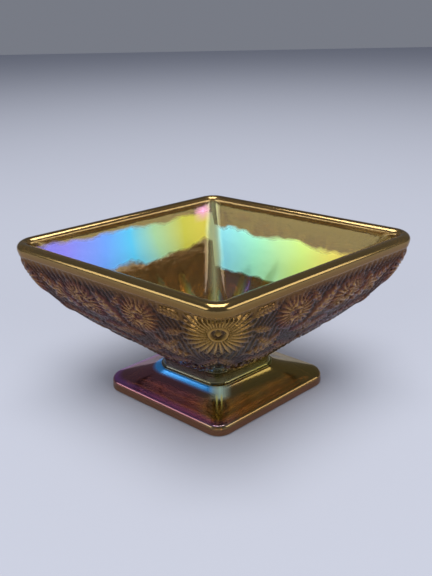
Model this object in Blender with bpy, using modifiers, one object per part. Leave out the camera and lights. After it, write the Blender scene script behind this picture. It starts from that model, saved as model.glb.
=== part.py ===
"""Footed bowl of pressed glass with a diamond plan.

The bowl, the stem and the foot are the three sections of one pressing.  Each is
a solid of its own, and they meet face to face at the stem's two ends.

Frame: X runs along the long diagonal, Y along the short one, Z is up.  The
origin is under the centre of the foot, on the plane that the foot stands on.
All sizes are in metres.
"""
import math

import bmesh
import bpy

# Bowl, outside
RIM_LENGTH = 0.165          # across the rim, rounded tip to rounded tip
RIM_WIDTH = 0.106           # across the rim, side corner to side corner
RIM_TIP_RADIUS = 0.0070     # plan radius at the two sharp ends
RIM_SIDE_RADIUS = 0.0100    # plan radius at the two blunt corners
BOWL_DEPTH = 0.0599         # from the stem's top to the rim
BOWL_WALL = 0.0048          # glass thickness of wall and floor
BELLY_REACH = 0.0370        # how far the underside runs out before it turns up
BELLY_LIFT = 0.0190         # how far it climbs on that way
BELLY_SOFTNESS = 0.0130     # extra plan radius of the blunt corners at half reach
WALL_RISE = 0.0230          # length of the steep part below the rim
RIM_FLARE = 0.0014          # how far the wall still leans out over that length
RIM_ROUNDING = 0.0016       # edge rounding of the lip

# Stem
STEM_LENGTH = 0.0520
STEM_WIDTH = 0.0334
STEM_TIP_RADIUS = 0.0050
STEM_SIDE_RADIUS = 0.0100
STEM_HEIGHT = 0.0070
STEM_COVE = 0.0014          # fillet where the stem spreads into the foot

# Foot
FOOT_LENGTH = 0.1068
FOOT_WIDTH = 0.0714
FOOT_TIP_RADIUS = 0.0069
FOOT_SIDE_RADIUS = 0.0095
FOOT_HEIGHT = 0.0137        # up to the stem
FOOT_EDGE = 0.0060          # height of the foot's upright edge
FOOT_ROUNDING = 0.0018      # edge rounding of the foot
RING_WIDTH = 0.0052         # flat ring that the foot stands on
HOLLOW_DEPTH = 0.0072       # rise of the hollow under the foot
HOLLOW_LENGTH = 0.0560      # the hollow's flat roof
HOLLOW_WIDTH = 0.0350

SEAT_GAP = 0.0003           # clearance between two sections that meet

# Mesh resolution
TIP_STEPS = 8
SIDE_STEPS = 8
EDGE_STEPS = 5
WALL_STEPS = 16
COVE_STEPS = 4
SLOPE_STEPS = 5

GLASS_AMBER = (0.50, 0.26, 0.06, 1.0)


class Diamond:
    """A diamond outline with rounded corners, sized over its roundings."""

    def __init__(self, length, width, tip_radius, side_radius):
        self.half_length = length / 2.0
        self.half_width = width / 2.0
        self.tip_radius = tip_radius
        self.side_radius = side_radius

    def inset(self, distance):
        """The outline moved inward by the same distance all round."""
        return Diamond(
            2.0 * (self.half_length - distance),
            2.0 * (self.half_width - distance),
            max(self.tip_radius - distance, self.tip_radius * 0.1),
            max(self.side_radius - distance, self.side_radius * 0.1),
        )

    def blend(self, other, share):
        """An outline part of the way from this one to another."""
        def mix(a, b):
            return a + (b - a) * share

        return Diamond(
            2.0 * mix(self.half_length, other.half_length),
            2.0 * mix(self.half_width, other.half_width),
            mix(self.tip_radius, other.tip_radius),
            mix(self.side_radius, other.side_radius),
        )

    def side_slope(self):
        """Angle between a side and the long diagonal."""
        slope = math.atan2(self.half_width, self.half_length)
        for _ in range(40):
            sharp_length = self.half_length + self.tip_radius * (1.0 / math.sin(slope) - 1.0)
            sharp_width = self.half_width + self.side_radius * (1.0 / math.cos(slope) - 1.0)
            slope = math.atan2(sharp_width, sharp_length)
        return slope

    def points(self):
        """Outline points, counter-clockwise from the middle of the +X tip."""
        turn = math.pi / 2.0 - self.side_slope()
        tip_x = self.half_length - self.tip_radius
        side_y = self.half_width - self.side_radius
        corners = [
            (tip_x, 0.0, self.tip_radius, -turn, turn, TIP_STEPS),
            (0.0, side_y, self.side_radius, turn, math.pi - turn, SIDE_STEPS),
            (-tip_x, 0.0, self.tip_radius, math.pi - turn, math.pi + turn, TIP_STEPS),
            (0.0, -side_y, self.side_radius, math.pi + turn, 2.0 * math.pi - turn, SIDE_STEPS),
        ]
        arcs = [corner_arc(*corner) for corner in corners]
        outline = []
        for arc, following in zip(arcs, arcs[1:] + arcs[:1]):
            outline += arc
            outline += between(arc[-1], following[0], EDGE_STEPS)
        return outline


def corner_arc(x, y, radius, start, end, steps):
    """Points along one rounded corner."""
    angles = [start + (end - start) * i / steps for i in range(steps + 1)]
    return [(x + radius * math.cos(a), y + radius * math.sin(a)) for a in angles]


def between(first, last, steps):
    """Points along a straight side, without its two ends."""
    shares = [i / steps for i in range(1, steps)]
    return [
        (first[0] + (last[0] - first[0]) * s, first[1] + (last[1] - first[1]) * s)
        for s in shares
    ]


def loft(name, sections, close_first=True, close_last=True):
    """A skin through outlines at rising heights; each section is (outline, z)."""
    bm = bmesh.new()
    rings = []
    for outline, z in sections:
        rings.append([bm.verts.new((x, y, z)) for x, y in outline.points()])
    for lower, upper in zip(rings, rings[1:]):
        count = len(lower)
        for i in range(count):
            j = (i + 1) % count
            bm.faces.new((lower[i], lower[j], upper[j], upper[i]))
    if close_first:
        bm.faces.new(list(reversed(rings[0])))
    if close_last:
        bm.faces.new(rings[-1])
    mesh = bpy.data.meshes.new(name)
    bm.to_mesh(mesh)
    bm.free()
    mesh.shade_smooth()
    mesh.set_sharp_from_angle(angle=math.radians(35.0))
    return bpy.data.objects.new(name, mesh)


def glass(name, colour, roughness):
    """Lustred pressed glass."""
    material = bpy.data.materials.new(name)
    material.use_nodes = True
    shader = material.node_tree.nodes["Principled BSDF"]
    shader.inputs["Base Color"].default_value = colour
    shader.inputs["Metallic"].default_value = 0.0
    shader.inputs["Roughness"].default_value = roughness
    shader.inputs["IOR"].default_value = 1.5
    return material


def round_edges(obj, width, steps, angle):
    """Rounding on every edge sharper than the angle."""
    bevel = obj.modifiers.new("rounding", "BEVEL")
    bevel.width = width
    bevel.segments = steps
    bevel.limit_method = "ANGLE"
    bevel.angle_limit = math.radians(angle)


def rim_outline():
    return Diamond(RIM_LENGTH, RIM_WIDTH, RIM_TIP_RADIUS, RIM_SIDE_RADIUS)


def stem_outline():
    return Diamond(STEM_LENGTH, STEM_WIDTH, STEM_TIP_RADIUS, STEM_SIDE_RADIUS)


def foot_outline():
    return Diamond(FOOT_LENGTH, FOOT_WIDTH, FOOT_TIP_RADIUS, FOOT_SIDE_RADIUS)


def bowl_base():
    """Height of the bowl's underside where it meets the stem."""
    return FOOT_HEIGHT + SEAT_GAP + STEM_HEIGHT + SEAT_GAP


def wall_point(t):
    """Half length and height of the bowl's outside, from stem (0) to rim (1)."""
    start = (STEM_LENGTH / 2.0, 0.0)
    belly = (STEM_LENGTH / 2.0 + BELLY_REACH, BELLY_LIFT)
    rise = (RIM_LENGTH / 2.0 - RIM_FLARE, BOWL_DEPTH - WALL_RISE)
    end = (RIM_LENGTH / 2.0, BOWL_DEPTH)
    weights = ((1 - t) ** 3, 3 * t * (1 - t) ** 2, 3 * t * t * (1 - t), t ** 3)
    reach = sum(w * p[0] for w, p in zip(weights, (start, belly, rise, end)))
    height = sum(w * p[1] for w, p in zip(weights, (start, belly, rise, end)))
    return reach, height


def build_bowl():
    """The diamond bowl: an open skin from the stem to the rim, given a wall."""
    inner, outer = stem_outline(), rim_outline()
    sections = []
    for step in range(WALL_STEPS + 1):
        reach, height = wall_point(step / WALL_STEPS)
        share = (reach - inner.half_length) / (outer.half_length - inner.half_length)
        outline = inner.blend(outer, share)
        outline.side_radius += BELLY_SOFTNESS * 4.0 * share * (1.0 - share)
        sections.append((outline, bowl_base() + height))
    bowl = loft("bowl", sections, close_last=False)
    wall = bowl.modifiers.new("wall", "SOLIDIFY")
    wall.thickness = BOWL_WALL
    wall.offset = -1.0
    wall.use_even_offset = True
    wall.use_quality_normals = True
    round_edges(bowl, RIM_ROUNDING, 3, 60.0)
    bowl.data.materials.append(glass("bowl_glass", GLASS_AMBER, 0.12))
    return bowl


def build_stem():
    """The solid stem, with a small cove at its foot."""
    shape = stem_outline()
    base = FOOT_HEIGHT + SEAT_GAP
    sections = []
    for step in range(COVE_STEPS + 1):
        angle = math.pi / 2.0 * step / COVE_STEPS
        spread = STEM_COVE * (1.0 - math.sin(angle))
        sections.append((shape.inset(-spread), base + STEM_COVE * (1.0 - math.cos(angle))))
    sections.append((shape, base + STEM_HEIGHT))
    stem = loft("stem", sections)
    stem.data.materials.append(glass("stem_glass", GLASS_AMBER, 0.14))
    return stem


def build_foot():
    """The spreading foot: an upright edge, a sloping top and a hollow below."""
    shape = foot_outline()
    seat = stem_outline().inset(-STEM_COVE)
    roof = Diamond(HOLLOW_LENGTH, HOLLOW_WIDTH, STEM_TIP_RADIUS, STEM_SIDE_RADIUS)
    sections = [
        (roof, HOLLOW_DEPTH),
        (shape.inset(RING_WIDTH).blend(roof, 0.5), HOLLOW_DEPTH * 0.8),
        (shape.inset(RING_WIDTH), 0.0),
        (shape, 0.0),
        (shape.inset(FOOT_EDGE * 0.12), FOOT_EDGE),
    ]
    for step in range(1, SLOPE_STEPS + 1):
        share = step / SLOPE_STEPS
        climb = (FOOT_HEIGHT - FOOT_EDGE) * share ** 1.25
        sections.append((shape.inset(FOOT_EDGE * 0.12).blend(seat, share), FOOT_EDGE + climb))
    foot = loft("foot", sections)
    round_edges(foot, FOOT_ROUNDING, 3, 50.0)
    foot.data.materials.append(glass("foot_glass", GLASS_AMBER, 0.12))
    return foot


def main():
    for obj in list(bpy.data.objects):
        bpy.data.objects.remove(obj, do_unlink=True)
    parts = bpy.data.collections.new("carnival_glass_bowl")
    bpy.context.scene.collection.children.link(parts)
    for obj in (build_foot(), build_stem(), build_bowl()):
        parts.objects.link(obj)


main()
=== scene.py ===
import math

import bpy
import numpy as np
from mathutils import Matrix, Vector


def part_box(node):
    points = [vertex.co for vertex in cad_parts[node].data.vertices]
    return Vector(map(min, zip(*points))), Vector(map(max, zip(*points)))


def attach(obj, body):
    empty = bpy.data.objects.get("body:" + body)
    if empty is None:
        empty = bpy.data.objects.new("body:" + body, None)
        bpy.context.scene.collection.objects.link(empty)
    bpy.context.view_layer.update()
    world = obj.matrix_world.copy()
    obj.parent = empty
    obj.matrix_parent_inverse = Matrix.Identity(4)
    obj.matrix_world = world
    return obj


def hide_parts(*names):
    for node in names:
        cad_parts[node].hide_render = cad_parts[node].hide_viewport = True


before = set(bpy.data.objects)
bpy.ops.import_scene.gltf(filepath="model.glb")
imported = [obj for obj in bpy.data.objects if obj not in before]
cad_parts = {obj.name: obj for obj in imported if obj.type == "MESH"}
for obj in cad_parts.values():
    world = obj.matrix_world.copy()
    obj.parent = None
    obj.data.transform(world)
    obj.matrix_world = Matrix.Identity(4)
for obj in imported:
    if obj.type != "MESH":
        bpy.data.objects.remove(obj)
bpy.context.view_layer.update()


# ---------------------------------------------------------------- the bowl
# The bowl of a pressed-glass comport: one thick amber wall in a diamond plan.
# The mould prints daisies and fern sprays on the outside; the plunger leaves
# the inside smooth but for the star on its floor.  Fired lustre coats it all.

BOWL_LOW, BOWL_HIGH = (Vector(v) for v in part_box("bowl"))
RIM_HALF_LENGTH = BOWL_HIGH.x - 0.0003
RIM_HALF_WIDTH = BOWL_HIGH.y - 0.0003
NECK_HALF_LENGTH = 0.0260
NECK_HALF_WIDTH = 0.0167
NECK_TIP_RADIUS = 0.0050
NECK_SIDE_RADIUS = 0.0100
RIM_TIP_RADIUS = 0.0070
RIM_SIDE_RADIUS = 0.0100
BELLY_SOFTNESS = 0.0220
BELLY_REACH = 0.0340
BELLY_LIFT = 0.0225
WALL_RISE = 0.0230
RIM_FLARE = 0.0014
WALL = 0.0052
INSIDE_CORNER = 0.0120    # plan radius of the blunt corners inside
LIP_ROUND = 0.0024
PLAIN_BAND = 2.6          # mm of smooth wall under the lip
NECK_FADE = 8.0           # mm over which the flowers die out above the neck
RELIEF = 0.0011           # how far the flowers stand out
ROUND_STEPS = 592
PAD_RINGS, WALL_RINGS, LIP_RINGS, INSIDE_RINGS, FLOOR_RINGS = 3, 104, 10, 34, 14


def diamond(half_length, half_width, tip_radius, side_radius, count):
    """Rounded diamond from the front corner anticlockwise, its corners at every quarter."""
    slope = math.atan2(half_width, half_length)
    for _ in range(30):
        sharp_length = half_length + tip_radius * (1.0 / math.sin(slope) - 1.0)
        sharp_width = half_width + side_radius * (1.0 / math.cos(slope) - 1.0)
        slope = math.atan2(sharp_width, sharp_length)
    turn = math.pi / 2.0 - slope
    front = (0.0, side_radius - half_width, side_radius)
    right = (half_length - tip_radius, 0.0, tip_radius)
    path = [(front[2] * math.cos(a), front[1] + front[2] * math.sin(a))
            for a in np.linspace(-math.pi / 2.0, -turn, 13)]
    path += [(right[0] + right[2] * math.cos(a), right[2] * math.sin(a))
             for a in np.linspace(-turn, 0.0, 13)]
    path = np.array(path)
    run = np.concatenate([[0.0], np.cumsum(np.hypot(*np.diff(path, axis=0).T))])
    even = np.linspace(0.0, 1.0, count // 4 + 1)
    steps = run[-1] * (even - 0.42 * np.sin(2.0 * np.pi * even) / (2.0 * np.pi)
                       - 0.18 * np.sin(np.pi * even) / np.pi)
    x, y = np.interp(steps, run, path[:, 0]), np.interp(steps, run, path[:, 1])
    quarter = np.stack([x, y], axis=1)
    back = quarter[::-1][1:] * (1, -1)
    half = np.concatenate([quarter, back])
    return np.concatenate([half, half[::-1][1:-1] * (-1, 1)])


def wall_curve(t, end_half):
    """Reach from the axis and height above the neck along the wall, 0 at the neck, 1 at the rim."""
    depth = BOWL_HIGH.z - BOWL_LOW.z - LIP_ROUND
    points = ((NECK_HALF_LENGTH, 0.0), (NECK_HALF_LENGTH + BELLY_REACH, BELLY_LIFT),
              (end_half - RIM_FLARE, depth - WALL_RISE), (end_half, depth))
    weights = ((1 - t) ** 3, 3 * t * (1 - t) ** 2, 3 * t * t * (1 - t), t ** 3)
    return tuple(sum(w * p[i] for w, p in zip(weights, points)) for i in (0, 1))


def wall_ring(t):
    """One ring of the bowl's outside."""
    reach, height = wall_curve(t, RIM_HALF_LENGTH)
    share = (reach - NECK_HALF_LENGTH) / (RIM_HALF_LENGTH - NECK_HALF_LENGTH)

    def mix(a, b):
        return a + (b - a) * share

    ring = diamond(reach, mix(NECK_HALF_WIDTH, RIM_HALF_WIDTH), mix(NECK_TIP_RADIUS, RIM_TIP_RADIUS),
                   mix(NECK_SIDE_RADIUS, RIM_SIDE_RADIUS) + BELLY_SOFTNESS * 4 * share * (1 - share),
                   ROUND_STEPS)
    return np.concatenate([ring, np.full((len(ring), 1), BOWL_LOW.z + height)], axis=1)


def skin_normals(grid):
    """Outward normals of a grid of rings."""
    around = np.roll(grid, -1, axis=1) - np.roll(grid, 1, axis=1)
    up = np.gradient(grid, axis=0)
    normal = np.cross(around, up)
    return normal / np.linalg.norm(normal, axis=2, keepdims=True)


def daisy(x, h, cx, ch, radius, petals, turn=0.0):
    """Height of a daisy: long thin petals round a ringed eye."""
    r = np.hypot(x - cx, h - ch)
    a = np.arctan2(h - ch, x - cx) + turn
    eye = radius * 0.26
    along = np.clip((r - eye) / (radius - eye), 0.0, 1.0)
    petal = np.abs(np.cos(a * petals / 2.0)) ** 0.8
    body = np.where((r > eye) & (r < radius), np.clip(petal - 0.75 * along ** 3, 0.0, 1.0), 0.0)
    ring = np.exp(-((r - eye * 0.80) / (eye * 0.20)) ** 2) * 0.95
    dot = np.exp(-(r / (eye * 0.33)) ** 2) * 0.9
    return np.maximum(body, np.maximum(ring, dot))


def leaf(x, h, x0, h0, x1, h1, width, veins, bow=0.0, depth=0.55):
    """Height of a veined leaf from one point to another, bowed to one side."""
    length = math.hypot(x1 - x0, h1 - h0)
    ux, uh = (x1 - x0) / length, (h1 - h0) / length
    u = ((x - x0) * ux + (h - h0) * uh) / length
    v = (x - x0) * -uh + (h - h0) * ux - bow * 4.0 * u * (1.0 - u)
    inside = (u > 0.0) & (u < 1.0)
    half = width * np.sin(np.pi * np.clip(u, 0.0, 1.0)) ** 0.7 + 1e-9
    crown = np.sqrt(np.clip(1.0 - (v / half) ** 2, 0.0, 1.0))
    ribs = 0.5 + 0.5 * np.cos(2.0 * np.pi * (u * veins - np.abs(v) / width * 1.1))
    shape = crown * (1.0 - depth + depth * ribs) * (1.0 - 0.5 * np.exp(-(v / (width * 0.10)) ** 2))
    return np.where(inside, shape, 0.0)


def relief(x, tip_x, h):
    """Pressed pattern of one side: x and tip_x in mm from its two corners, h in mm below the lip."""
    parts = [daisy(x, h, 0.0, 9.6, 14.8, 30), daisy(x, h, 33.0, 12.5, 9.6, 22, 0.1),
             daisy(tip_x, h, 34.0, 14.5, 9.4, 22, 0.2), daisy(tip_x, h, 0.0, 13.0, 11.0, 22)]
    near = (
        (9, 26, 27, 20, 3.6, 8, 3.5), (13, 7, 25, 6, 2.6, 7, -1.0), (16, 18, 24, 27, 2.4, 6, 1.0),
        (41, 21, 54, 7, 3.8, 8, 1.0), (31, 24, 46, 29, 3.0, 8, -2.0), (14, 12, 22, 16, 2.0, 5, 0.5),
        (0.6, 27, 8, 40, 3.0, 7, 1.0), (9, 32, 22, 42, 3.2, 7, -1.5), (24, 32, 40, 40, 3.4, 8, 1.5),
        (2, 42, 14, 55, 3.2, 8, 1.5), (16, 44, 30, 55, 3.2, 8, -1.5), (6, 58, 18, 70, 3.0, 7, 1.0),
        (41, 5, 46, 12, 2.0, 4, 0.4), (22, 29, 30, 31, 1.8, 4, 0.3),
    )
    far = (
        (26, 23, 12, 8, 4.0, 9, 1.0), (43, 8, 50, 24, 2.6, 7, -1.0), (26, 7, 13, 21, 2.6, 7, -1.0),
        (47, 29, 32, 27, 3.0, 8, 2.0), (28, 30, 10, 25, 3.0, 8, -2.0), (8, 27, 2, 38, 2.6, 6, 1.0),
        (58, 36, 42, 35, 3.4, 8, -1.5), (40, 37, 22, 35, 3.2, 8, 1.5), (20, 37, 6, 42, 3.0, 7, -1.0),
        (62, 46, 46, 47, 3.2, 8, 1.5), (44, 46, 26, 44, 3.2, 8, -1.5), (24, 46, 8, 50, 3.0, 8, 1.5),
        (60, 57, 42, 56, 3.0, 8, -1.2), (38, 55, 18, 56, 3.0, 8, 1.2), (55, 66, 36, 65, 3.0, 8, 1.2),
    )
    parts += [leaf(x, h, *line[:6], bow=line[6]) for line in near]
    parts += [leaf(tip_x, h, *line[:6], bow=line[6]) for line in far]
    pattern = np.maximum.reduce(parts)
    grain = 0.42 * np.clip(np.sin(x * 2.3 + h * 1.5 + 2.2 * np.sin(h * 0.35 + x * 0.11)), 0, 1)
    return np.maximum(pattern, grain)


climb = np.linspace(0.0, 1.0, WALL_RINGS)
climb = climb + 0.30 * np.sin(np.pi * climb) / np.pi
wall_rings = np.array([wall_ring(t) for t in climb / climb[-1]])
wall_out = skin_normals(wall_rings)
risen = np.concatenate([np.zeros((1, ROUND_STEPS)),
                        np.cumsum(np.linalg.norm(np.diff(wall_rings, axis=0), axis=2), axis=0)])
below_lip = (risen[-1] - risen) * 1000.0
hops = np.linalg.norm(np.roll(wall_rings, -1, axis=1) - wall_rings, axis=2)
passed = np.concatenate([np.zeros((WALL_RINGS, 1)), np.cumsum(hops, axis=1)[:, :-1]], axis=1)
side_run = hops.sum(axis=1, keepdims=True) / 4.0
corner_x = side_run - np.abs(passed % (2.0 * side_run) - side_run)
height_map = relief(corner_x * 1000.0, (side_run - corner_x) * 1000.0, below_lip)
height_map *= np.clip((below_lip - PLAIN_BAND) / 1.6, 0.0, 1.0)
height_map *= np.clip((below_lip.max() - below_lip) / NECK_FADE, 0.0, 1.0)
MIDDLE = 0.5              # share of the flowers' height that lies inside the plain wall
raised_by = (height_map - MIDDLE * (height_map > 0)) * RELIEF
wall_skin = wall_rings + wall_out * raised_by[:, :, None]
wall_skin[:, :, 2] = np.minimum(wall_skin[:, :, 2], BOWL_HIGH.z)

lip_out = wall_out[-1] * (1, 1, 0)
lip_out /= np.linalg.norm(lip_out, axis=1, keepdims=True)
lip_mid = wall_rings[-1] - lip_out * WALL / 2.0
lip_skin = np.array([
    lip_mid + lip_out * math.cos(a) * WALL / 2.0 + np.array([0, 0, math.sin(a) * LIP_ROUND])
    for a in np.linspace(0.0, math.pi, LIP_RINGS + 2)[1:-1]
])
FLOOR_Z = BOWL_LOW.z + 0.0060
FLOOR_HALF_LENGTH, FLOOR_HALF_WIDTH = 0.0240, 0.0150


def inside_ring(t):
    """One ring of the bowl's inside, 1 at the lip and 0 at the floor's edge."""
    lip = (RIM_HALF_LENGTH - WALL, BOWL_HIGH.z - LIP_ROUND)
    points = ((FLOOR_HALF_LENGTH, FLOOR_Z), (0.0450, 0.0385), (0.0620, 0.0570), lip)
    weights = ((1 - t) ** 3, 3 * t * (1 - t) ** 2, 3 * t * t * (1 - t), t ** 3)
    reach, height = (sum(w * p[i] for w, p in zip(weights, points)) for i in (0, 1))
    share = (reach - FLOOR_HALF_LENGTH) / (lip[0] - FLOOR_HALF_LENGTH)
    half_width = FLOOR_HALF_WIDTH + (RIM_HALF_WIDTH - WALL - FLOOR_HALF_WIDTH) * share
    side = INSIDE_CORNER + (RIM_SIDE_RADIUS - WALL - INSIDE_CORNER) * share ** 3
    ring = diamond(reach, half_width, 0.0045 - 0.0025 * share, side, ROUND_STEPS)
    return np.concatenate([ring, np.full((len(ring), 1), height)], axis=1)


inside_skin = np.array([inside_ring(t) for t in np.linspace(1.0, 0.0, INSIDE_RINGS)])
STAR_POINTS = 16
STAR_DEPTH = 0.0016
floor_rings = []
for share in np.linspace(1.0, 0.0, FLOOR_RINGS + 1)[1:]:
    ring = inside_skin[-1] * (share, share, 1.0)
    ring[:, 2] = FLOOR_Z
    floor_rings.append(ring)
floor_skin = np.array(floor_rings)
low_inside = np.concatenate([inside_skin, floor_skin])
star_reach = np.hypot(low_inside[:, :, 0], low_inside[:, :, 1] * RIM_HALF_LENGTH / RIM_HALF_WIDTH)
angle = np.arctan2(low_inside[:, :, 1] * RIM_HALF_LENGTH / RIM_HALF_WIDTH, low_inside[:, :, 0])
petal = np.abs(np.cos(angle * STAR_POINTS / 2.0))
star_edge = 0.044 * (0.55 + 0.45 * petal)
star = petal * np.clip(star_reach / 0.010, 0, 1) * np.clip((star_edge - star_reach) / 0.010, 0, 1)
low_inside[:, :, 2] -= star * STAR_DEPTH

pad_skin = np.array([wall_rings[0] * (s, s, 1.0) for s in np.linspace(0.0, 1.0, PAD_RINGS + 1)[1:-1]])


def press(name, rings, low_pole, high_pole):
    """A closed skin: a ball whose rings of points are drawn out, low pole first, on to the given rings."""
    around = rings.shape[1]
    bpy.ops.object.select_all(action="DESELECT")
    bpy.ops.mesh.primitive_uv_sphere_add(segments=around, ring_count=len(rings) + 1, radius=1.0)
    skin = bpy.context.object
    skin.name = name
    ball = np.empty(len(skin.data.vertices) * 3)
    skin.data.vertices.foreach_get("co", ball)
    ball = ball.reshape(-1, 3)
    tilt = np.pi - np.arccos(np.clip(ball[:, 2], -1.0, 1.0))
    ring_of = np.rint(tilt / np.pi * (len(rings) + 1)).astype(int)
    turn = np.arctan2(ball[:, 1], ball[:, 0]) + np.pi / 2.0
    step_of = np.rint(turn / (2.0 * np.pi) * around).astype(int) % around
    placed = rings[np.clip(ring_of - 1, 0, len(rings) - 1), step_of]
    placed[ring_of == 0] = low_pole
    placed[ring_of == len(rings) + 1] = high_pole
    skin.data.vertices.foreach_set("co", placed.ravel())
    skin.data.update()
    bpy.ops.object.shade_smooth()
    return skin, ring_of, step_of


bowl_rings = np.concatenate([pad_skin, wall_skin, lip_skin, low_inside[:-1]])
bowl, ring_of, step_of = press("pressed_bowl", bowl_rings, (0, 0, BOWL_LOW.z), (0, 0, FLOOR_Z))
raised = np.zeros((len(bowl_rings), ROUND_STEPS))
raised[len(pad_skin):len(pad_skin) + WALL_RINGS] = height_map
first_low = len(pad_skin) + WALL_RINGS + LIP_RINGS
seen_through = np.abs(wall_rings[:, 0, 2][None] - inside_skin[:, 0, 2][:, None]).argmin(axis=1)
raised[first_low:first_low + INSIDE_RINGS] = height_map[seen_through]
star_rings = star.max(axis=1) > 0.0
star_rings[-1] = False
raised[first_low:][star_rings[:-1]] = star[star_rings]
mark = bowl.data.attributes.new("raised", "FLOAT", "POINT")
raised_at = raised[np.clip(ring_of - 1, 0, len(bowl_rings) - 1), step_of]
mark.data.foreach_set("value", raised_at.astype(np.float32))


class Flow:
    """A shader value that Python's operators add Math nodes to."""

    def __init__(self, tree, socket):
        self.tree, self.socket = tree, socket

    def _math(self, operation, *values):
        node = self.tree.nodes.new("ShaderNodeMath")
        node.operation = operation
        for slot, value in zip(node.inputs, values):
            if isinstance(value, Flow):
                self.tree.links.new(value.socket, slot)
            else:
                slot.default_value = value
        return Flow(self.tree, node.outputs[0])

    def __add__(self, other): return self._math("ADD", self, other)
    def __radd__(self, other): return self._math("ADD", other, self)
    def __sub__(self, other): return self._math("SUBTRACT", self, other)
    def __rsub__(self, other): return self._math("SUBTRACT", other, self)
    def __mul__(self, other): return self._math("MULTIPLY", self, other)
    def __rmul__(self, other): return self._math("MULTIPLY", other, self)
    def __truediv__(self, other): return self._math("DIVIDE", self, other)
    def clamp(self): return self._math("MINIMUM", self._math("MAXIMUM", self, 0.0), 1.0)
    def step(self, low, high): return ((self - low) / (high - low)).clamp()
    def size(self): return self._math("ABSOLUTE", self)


class Paint:
    """One material and its node tree."""

    def __init__(self, name):
        self.material = bpy.data.materials.new(name)
        self.material.use_nodes = True
        self.tree = self.material.node_tree
        self.tree.nodes.clear()

    def node(self, kind, settings=None, **sockets):
        made = self.tree.nodes.new(kind)
        for key, value in (settings or {}).items():
            if key == "stops":
                ramp = made.color_ramp
                while len(ramp.elements) < len(value):
                    ramp.elements.new(0.5)
                for element, (place, colour) in zip(ramp.elements, value):
                    element.position = place
                    element.color = (*colour, 1.0)
            else:
                setattr(made, key, value)
        for key, value in sockets.items():
            socket = made.inputs[int(key[1:])] if key[0] == "i" and key[1:].isdigit() \
                else made.inputs[key.replace("_", " ")]
            if isinstance(value, Flow):
                self.tree.links.new(value.socket, socket)
            elif isinstance(value, bpy.types.NodeSocket):
                self.tree.links.new(value, socket)
            else:
                socket.default_value = value
        return made

    def flow(self, made, name=0):
        return Flow(self.tree, made.outputs[name])

    def place(self):
        split = self.node("ShaderNodeSeparateXYZ", Vector=self.node("ShaderNodeTexCoord").outputs["Object"])
        return [self.flow(split, axis) for axis in "XYZ"]

    def mix(self, share, first, second, how="MIX"):
        made = self.node("ShaderNodeMix", {"data_type": "RGBA", "blend_type": how, "clamp_factor": True})
        for index, value in ((0, share), (6, first), (7, second)):
            if isinstance(value, Flow):
                self.tree.links.new(value.socket, made.inputs[index])
            elif isinstance(value, bpy.types.NodeSocket):
                self.tree.links.new(value, made.inputs[index])
            elif index == 0:
                made.inputs[index].default_value = value
            else:
                made.inputs[index].default_value = (*value, 1.0)
        return made.outputs[2]

    def noise(self, scale, detail=2.0, rough=0.5):
        made = self.node("ShaderNodeTexNoise", Vector=self.node("ShaderNodeTexCoord").outputs["Object"],
                         Scale=scale, Detail=detail, Roughness=rough)
        return self.flow(made, 0)

    def finish(self, shader):
        self.node("ShaderNodeOutputMaterial", Surface=shader.outputs[0])
        return self.material


def lustred_glass(paint, colour, body_colour, film_share, film_rough, film_metal=1.0, normal=None):
    """Amber glass under a fired metallic film."""
    extra = {"Normal": normal} if normal is not None else {}
    clear = paint.node("ShaderNodeBsdfPrincipled", Base_Color=body_colour, Roughness=0.06, IOR=1.5,
                       Transmission_Weight=1.0, **extra)
    metal = paint.node("ShaderNodeBsdfPrincipled", Base_Color=colour, Metallic=film_metal,
                       Roughness=film_rough, **extra)
    facing = paint.node("ShaderNodeLayerWeight", Blend=0.35, **extra)
    share = (paint.flow(facing, "Facing") * 0.35 + film_share).clamp()
    both = paint.node("ShaderNodeMixShader", i0=share, i1=clear.outputs[0], i2=metal.outputs[0])
    return paint.finish(both)


outside = Paint("bowl_outside")
x, y, z = outside.place()
proud = outside.flow(outside.node("ShaderNodeAttribute", {"attribute_name": "raised"}), "Fac")
cloud = outside.noise(38.0, 3.0)
near_front = (x.size() / 0.024 + cloud * 0.9 - 0.5).clamp()
gold = outside.mix(near_front, (0.25, 0.135, 0.020), (0.165, 0.047, 0.022))
plum_share = cloud.step(0.44, 0.60) * (1.0 - z.step(0.058, 0.074)) * 0.7
plum = outside.mix(plum_share, gold, (0.11, 0.017, 0.050))
band = outside.mix(z.step(0.072, 0.078) * 0.85, plum, (0.32, 0.18, 0.045))
lip = outside.mix(z.step(0.0785, 0.0800), band, (0.40, 0.26, 0.085))
# Painted shade: the hollows between the raised flowers, below the plain band, are painted near black.
hollow_shade = (1.0 - proud.step(0.10, 0.60)) * (1.0 - z.step(0.073, 0.077))
hollows_shaded = outside.mix(hollow_shade * 0.90, lip, (0.012, 0.004, 0.005))
# Painted highlight: the tops of the raised flowers are painted bright gold.
crest_highlight = outside.mix(proud.step(0.60, 0.95) * 0.65, hollows_shaded, (0.66, 0.38, 0.09))
# Painted shade: the bottom of the bowl, just above the neck, is painted dark brown.
underside_shaded = outside.mix(1.0 - z.step(0.024, 0.034), crest_highlight, (0.05, 0.040, 0.025))
fine = outside.node("ShaderNodeTexVoronoi", Vector=outside.node("ShaderNodeTexCoord").outputs["Object"],
                    Scale=850.0)
stipple = outside.flow(fine, "Distance") * (1.0 - z.step(0.072, 0.077))
rough_skin = outside.node("ShaderNodeBump", Strength=0.22, Distance=0.0005, Height=stipple)
outside_glass = lustred_glass(outside, underside_shaded, (0.50, 0.22, 0.05, 1.0), 0.66, 0.15,
                              normal=rough_skin.outputs[0])

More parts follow.
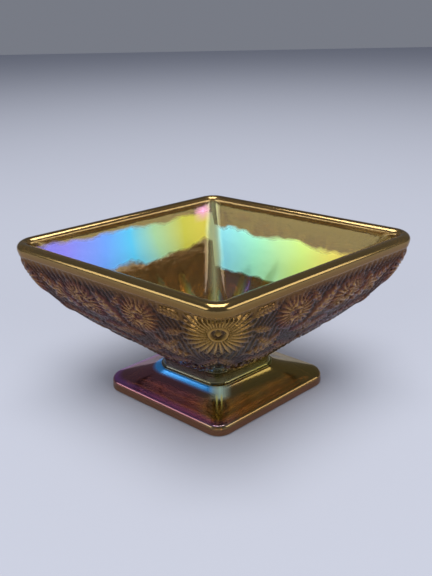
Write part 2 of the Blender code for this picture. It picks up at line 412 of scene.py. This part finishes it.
inside = Paint("bowl_inside")
x, y, z = inside.place()
drift = inside.noise(22.0, 2.0)
ragged = (inside.noise(70.0, 3.0) - 0.5) * 0.010
behind = inside.flow(inside.node("ShaderNodeAttribute", {"attribute_name": "raised"}), "Fac")
# Partly painted reflection: a band high on the inside walls takes the lustre's rainbow hues, painted bright
# where the window light is mirrored, and gets a larger share of a rougher, less metallic film.
span = (x + (drift - 0.5) * 0.02) / 0.16 + 0.5
rainbow = inside.node("ShaderNodeValToRGB", {"stops": [
    (0.09, (0.28, 0.25, 0.92)), (0.18, (0.13, 0.36, 0.95)), (0.26, (0.07, 0.55, 0.85)),
    (0.32, (0.34, 0.60, 0.32)), (0.40, (0.54, 0.52, 0.04)), (0.47, (0.66, 0.56, 0.05)),
    (0.52, (0.28, 0.80, 0.85)), (0.62, (0.38, 0.92, 0.58)), (0.74, (0.68, 0.92, 0.22)),
    (0.82, (0.85, 0.74, 0.12)), (0.92, (0.88, 0.42, 0.07))]}, Fac=span)
right = x.step(-0.0005, 0.0005)
low_edge = 0.0600 - right * 0.0125
high_edge = 0.0735 - right * 0.0070 + x.size().step(0.045, 0.070) * 0.003
height = z + ragged
lustre_and_reflection_band = (height - low_edge).step(0.0, 0.0016) * (1.0 - (height - high_edge).step(0.0, 0.0020))
amber = inside.mix(behind * 0.6, (0.14, 0.105, 0.018), (0.060, 0.034, 0.010))
low_brown = inside.mix(drift.step(0.40, 0.60), (0.20, 0.115, 0.050), (0.11, 0.105, 0.095))
star_glow = inside.mix(drift.step(0.44, 0.54), (0.80, 0.34, 0.08), (0.66, 0.62, 0.30))
dish = inside.mix(behind.step(0.35, 0.80) * 0.8, low_brown, star_glow)
wall_low = inside.mix(z.step(0.046, 0.050), dish, (0.17, 0.105, 0.040))
wall = inside.mix((z - low_edge).step(-0.002, 0.002), wall_low, amber)
# Painted highlight: a pale yellow-green strip down the back inside corner, which also gets more of the film.
corner_highlight_mask = (1.0 - x.size() / 0.0040).clamp() * y.step(0.010, 0.020)
lit = inside.mix(lustre_and_reflection_band, wall, rainbow.outputs[0])
corner_highlight = inside.mix(corner_highlight_mask * 0.8, lit, (0.80, 0.84, 0.42))
# Painted highlight: a pink spot near the top of the back inside corner.
pink_highlight_spot = (1.0 - (x + 0.005).size() / 0.005).clamp() * (1.0 - (z - 0.0755).size() / 0.005).clamp()
pink_highlight = inside.mix(pink_highlight_spot * y.step(0.0, 0.010), corner_highlight, (0.92, 0.38, 0.62))
lip_gold = inside.mix(z.step(0.0785, 0.0800), pink_highlight, (0.40, 0.26, 0.085))
bright = (lustre_and_reflection_band + corner_highlight_mask * 0.6).clamp()
ripple = inside.node("ShaderNodeBump", Strength=0.05, Distance=0.001, Height=inside.noise(260.0, 2.0))
inside_glass = lustred_glass(inside, lip_gold, (0.80, 0.50, 0.16, 1.0), bright * 0.40 + 0.48,
                             bright * 0.22 + 0.09, 1.0 - bright * 0.55, ripple.outputs[0])

bowl.data.materials.append(outside_glass)
bowl.data.materials.append(inside_glass)
first_inside = len(pad_skin) + WALL_RINGS + LIP_RINGS // 2
low_ring = [min(ring_of[v] for v in face.vertices) for face in bowl.data.polygons]
bowl.data.polygons.foreach_set("material_index", [int(ring > first_inside) for ring in low_ring])
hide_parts("bowl")
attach(bowl, "root")


# ---------------------------------------------------------------- the stem
# The short solid waist between bowl and foot, smooth from the mould, with a
# small cove at its lower end.  It is one glass with the two; the seams don't show.

STEM_LOW, STEM_HIGH = (Vector(v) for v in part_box("stem"))
STEM_STEPS = 256
STEM_SINK = 0.0004
STEM_COVE = 0.0014


def smooth_ring(half_length, half_width, tip_radius, side_radius, z):
    """A ring of the stem or the foot."""
    ring = diamond(half_length, half_width, tip_radius, side_radius, STEM_STEPS)
    return np.concatenate([ring, np.full((len(ring), 1), z)], axis=1)


def stem_ring(spread, z):
    """The stem's outline, spread outward by a fillet."""
    return smooth_ring(NECK_HALF_LENGTH + spread, NECK_HALF_WIDTH + spread,
                       NECK_TIP_RADIUS + spread, NECK_SIDE_RADIUS + spread, z)


stem_bottom, stem_top = STEM_LOW.z - STEM_SINK, STEM_HIGH.z + STEM_SINK
stem_rings = [stem_ring(STEM_COVE, stem_bottom) * (s, s, 1) for s in (0.3, 0.7, 0.95)]
stem_rings += [stem_ring(STEM_COVE * (1 - math.sin(a)), STEM_LOW.z + STEM_COVE * (1 - math.cos(a)))
               for a in np.linspace(0.0, math.pi / 2, 8)]
cove_top = STEM_LOW.z + STEM_COVE
stem_rings += [stem_ring(-0.0002 * math.sin(math.pi * s), cove_top + (stem_top - cove_top) * s)
               for s in np.linspace(0.1, 1.0, 8)]
stem_rings += [stem_ring(0.0, stem_top) * (s, s, 1) for s in (0.9, 0.6, 0.3)]
stem, _, _ = press("glass_stem", np.array(stem_rings), (0, 0, stem_bottom), (0, 0, stem_top))

waist = Paint("stem_lustre")
x, y, z = waist.place()
haze = waist.noise(45.0, 2.0)
olive = waist.mix((x / 0.05 + 0.5 + (haze - 0.5) * 0.6).clamp(), (0.19, 0.18, 0.14), (0.26, 0.22, 0.035))
stem.data.materials.append(lustred_glass(waist, olive, (0.55, 0.36, 0.10, 1.0), 0.55, 0.12))
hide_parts("stem")
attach(stem, "root")


# ---------------------------------------------------------------- the foot
# The spreading diamond foot, pressed with the bowl: a gently sloping top, an
# upright rounded edge and a hollow underneath that leaves a ring to stand on.

FOOT_LOW, FOOT_HIGH = (Vector(v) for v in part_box("foot"))
FOOT_TIP_RADIUS = 0.0069
FOOT_SIDE_RADIUS = 0.0095
FOOT_EDGE = 0.0060
EDGE_ROUND = 0.0020
RING_WIDTH = 0.0052
HOLLOW_DEPTH = 0.0072


def foot_ring(inset, z):
    """The foot's outline moved inward."""
    return smooth_ring(FOOT_HIGH.x - inset, FOOT_HIGH.y - inset, max(FOOT_TIP_RADIUS - inset, 0.0016),
                       max(FOOT_SIDE_RADIUS - inset, 0.003), z)


seat = stem_ring(STEM_COVE, FOOT_HIGH.z)
roof = smooth_ring(0.028, 0.0175, 0.006, 0.010, HOLLOW_DEPTH)
inner = foot_ring(RING_WIDTH, 0.0)
foot_rings = [roof * (s, s, 1) for s in (0.25, 0.5, 0.75, 0.95)]
for s in np.linspace(0.0, 1.0, 14):
    ring = roof + (inner - roof) * s
    ring[:, 2] = HOLLOW_DEPTH * (1.0 - s ** 2.2)
    foot_rings.append(ring)
foot_rings += [foot_ring(RING_WIDTH * s, 0.0) for s in (0.85, 0.6, 0.4)]
REST_ROUND = 0.0012
foot_rings += [foot_ring(REST_ROUND * (1 - math.sin(a)), REST_ROUND * (1 - math.cos(a)))
               for a in np.linspace(0, math.pi / 2, 6)]
foot_rings += [foot_ring(0.0002, 0.0026)]
foot_rings += [foot_ring(0.0004 + EDGE_ROUND * (1 - math.cos(a)), FOOT_EDGE - EDGE_ROUND * (1 - math.sin(a)))
               for a in np.linspace(0, math.pi / 2 * 0.84, 9)]
shoulder = foot_ring(0.0004 + EDGE_ROUND, FOOT_EDGE + 0.0002)
for s in np.linspace(0.04, 1.0, 24):
    ring = shoulder + (seat - shoulder) * s
    ring[:, 2] = FOOT_EDGE + 0.0002 + (FOOT_HIGH.z - FOOT_EDGE - 0.0002) * (0.72 * s + 0.28 * s ** 4)
    foot_rings.append(ring)
foot_rings += [seat * (s, s, 1) for s in (0.9, 0.5, 0.2)]
foot, _, _ = press("glass_foot", np.array(foot_rings), (0, 0, HOLLOW_DEPTH), (0, 0, FOOT_HIGH.z))

base = Paint("foot_lustre")
x, y, z = base.place()
haze = base.noise(30.0, 2.0)
sides = base.mix((x / 0.03 + 0.5 + (haze - 0.5) * 0.5).clamp(), (0.27, 0.105, 0.125), (0.30, 0.20, 0.040))
# Painted highlight: the front corner of the foot is painted yellow-green.
front = (1.0 - x.size() / 0.010).clamp() * (0.0 - y).step(0.015, 0.030)
front_highlight = base.mix(front * 0.8, sides, (0.36, 0.42, 0.12))
edge = base.mix(1.0 - z.step(0.0035, 0.0062), front_highlight, (0.36, 0.16, 0.075))
# Painted highlight: a violet line along the top of the foot's edge, on the left.
left = 1.0 - x.step(-0.002, 0.010)
line = z.step(0.0052, 0.0060) * (1.0 - z.step(0.0062, 0.0070)) * left * 0.7
violet_highlight = base.mix(line, edge, (0.46, 0.16, 0.56))
# Painted reflection: a blue streak along the seat of the neck on the left, where a window is mirrored; it
# also gets more of the film.
crown = z.step(0.0112, 0.0122)
blue_reflection_share = crown * (1.0 - x.step(-0.003, 0.0005))
blue_reflection = base.mix(blue_reflection_share * 0.95, violet_highlight, (0.05, 0.40, 0.95))
# Painted highlight: a mint spot on the foot's top just in front of the neck.
mint_highlight_spot = (1.0 - (x - 0.001).size() / 0.0055).clamp()
mint_highlight_share = z.step(0.0098, 0.0108) * mint_highlight_spot * (0.0 - y).step(0.005, 0.012)
mint_highlight = base.mix(mint_highlight_share, blue_reflection, (0.72, 1.0, 0.80))
# Painted highlight: two thin yellow lines on the foot's front slope, below the neck.
yellow_glints = (1.0 - ((x - 0.0005).size() - 0.0011).size() / 0.0008).clamp() * z.step(0.0075, 0.0100)
yellow_glints = yellow_glints * (1.0 - z.step(0.0108, 0.0118)) * (0.0 - y).step(0.010, 0.016)
yellow = base.mix(yellow_glints * 0.9, mint_highlight, (0.98, 0.88, 0.20))
gleam = (blue_reflection_share * 0.7 + mint_highlight_share + yellow_glints).clamp()
foot.data.materials.append(lustred_glass(base, yellow, (0.52, 0.28, 0.08, 1.0), gleam * 0.3 + 0.62,
                                         gleam * 0.20 + 0.13, 1.0 - gleam * 0.6))
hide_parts("foot")
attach(foot, "root")


# ---------------------------------------------------------------- the floor and the light
# A plain pale floor, a soft sky, and three softboxes that the lustre mirrors:
# one to each side in front of the bowl, and a large one above it.

bpy.ops.object.select_all(action="DESELECT")
bpy.ops.mesh.primitive_plane_add(size=6.0, location=(0, 0, 0))
floor = bpy.context.object
floor.name = "floor"
ground = Paint("floor_cloth")
ground_shader = ground.node("ShaderNodeBsdfPrincipled", Base_Color=(0.52, 0.54, 0.62, 1.0), Roughness=0.8)
floor.data.materials.append(ground.finish(ground_shader))

world = bpy.data.worlds.new("studio")
bpy.context.scene.world = world
world.use_nodes = True
world.node_tree.nodes["Background"].inputs[0].default_value = (0.62, 0.66, 0.78, 1.0)
world.node_tree.nodes["Background"].inputs[1].default_value = 0.30


def softbox(name, place, size, power, colour, aim=(0, 0, 0.05)):
    """A rectangular light that points at the bowl."""
    light = bpy.data.lights.new(name, "AREA")
    light.shape = "RECTANGLE"
    light.size, light.size_y = size
    light.energy = power
    light.color = colour
    lamp = bpy.data.objects.new(name, light)
    lamp.location = place
    lamp.rotation_mode = "QUATERNION"
    lamp.rotation_quaternion = (Vector(aim) - Vector(place)).to_track_quat("-Z", "Y")
    bpy.context.scene.collection.objects.link(lamp)
    return lamp


softbox("window_right", (1.00, -0.62, 0.50), (0.95, 0.52), 4.0, (1.0, 1.0, 1.0), (0, 0, 0.06))
softbox("window_left", (-1.00, -0.62, 0.50), (0.95, 0.52), 4.0, (0.95, 0.97, 1.0), (0, 0, 0.06))
softbox("top", (0.0, -0.1, 1.5), (0.9, 0.9), 20.0, (1.0, 1.0, 1.0))

camera_data = bpy.data.cameras.new("camera")
camera_data.lens = 27.07
camera_data.sensor_width = 36.0
camera_data.clip_start = 0.01
camera = bpy.data.objects.new("camera", camera_data)
bpy.context.scene.collection.objects.link(camera)
camera.location = (-0.0021, -0.1649, 0.1575)
camera.rotation_euler = [math.radians(turn) for turn in (58.46, 0.87, -1.36)]
bpy.context.scene.camera = camera
bpy.context.scene.view_settings.view_transform = "Standard"
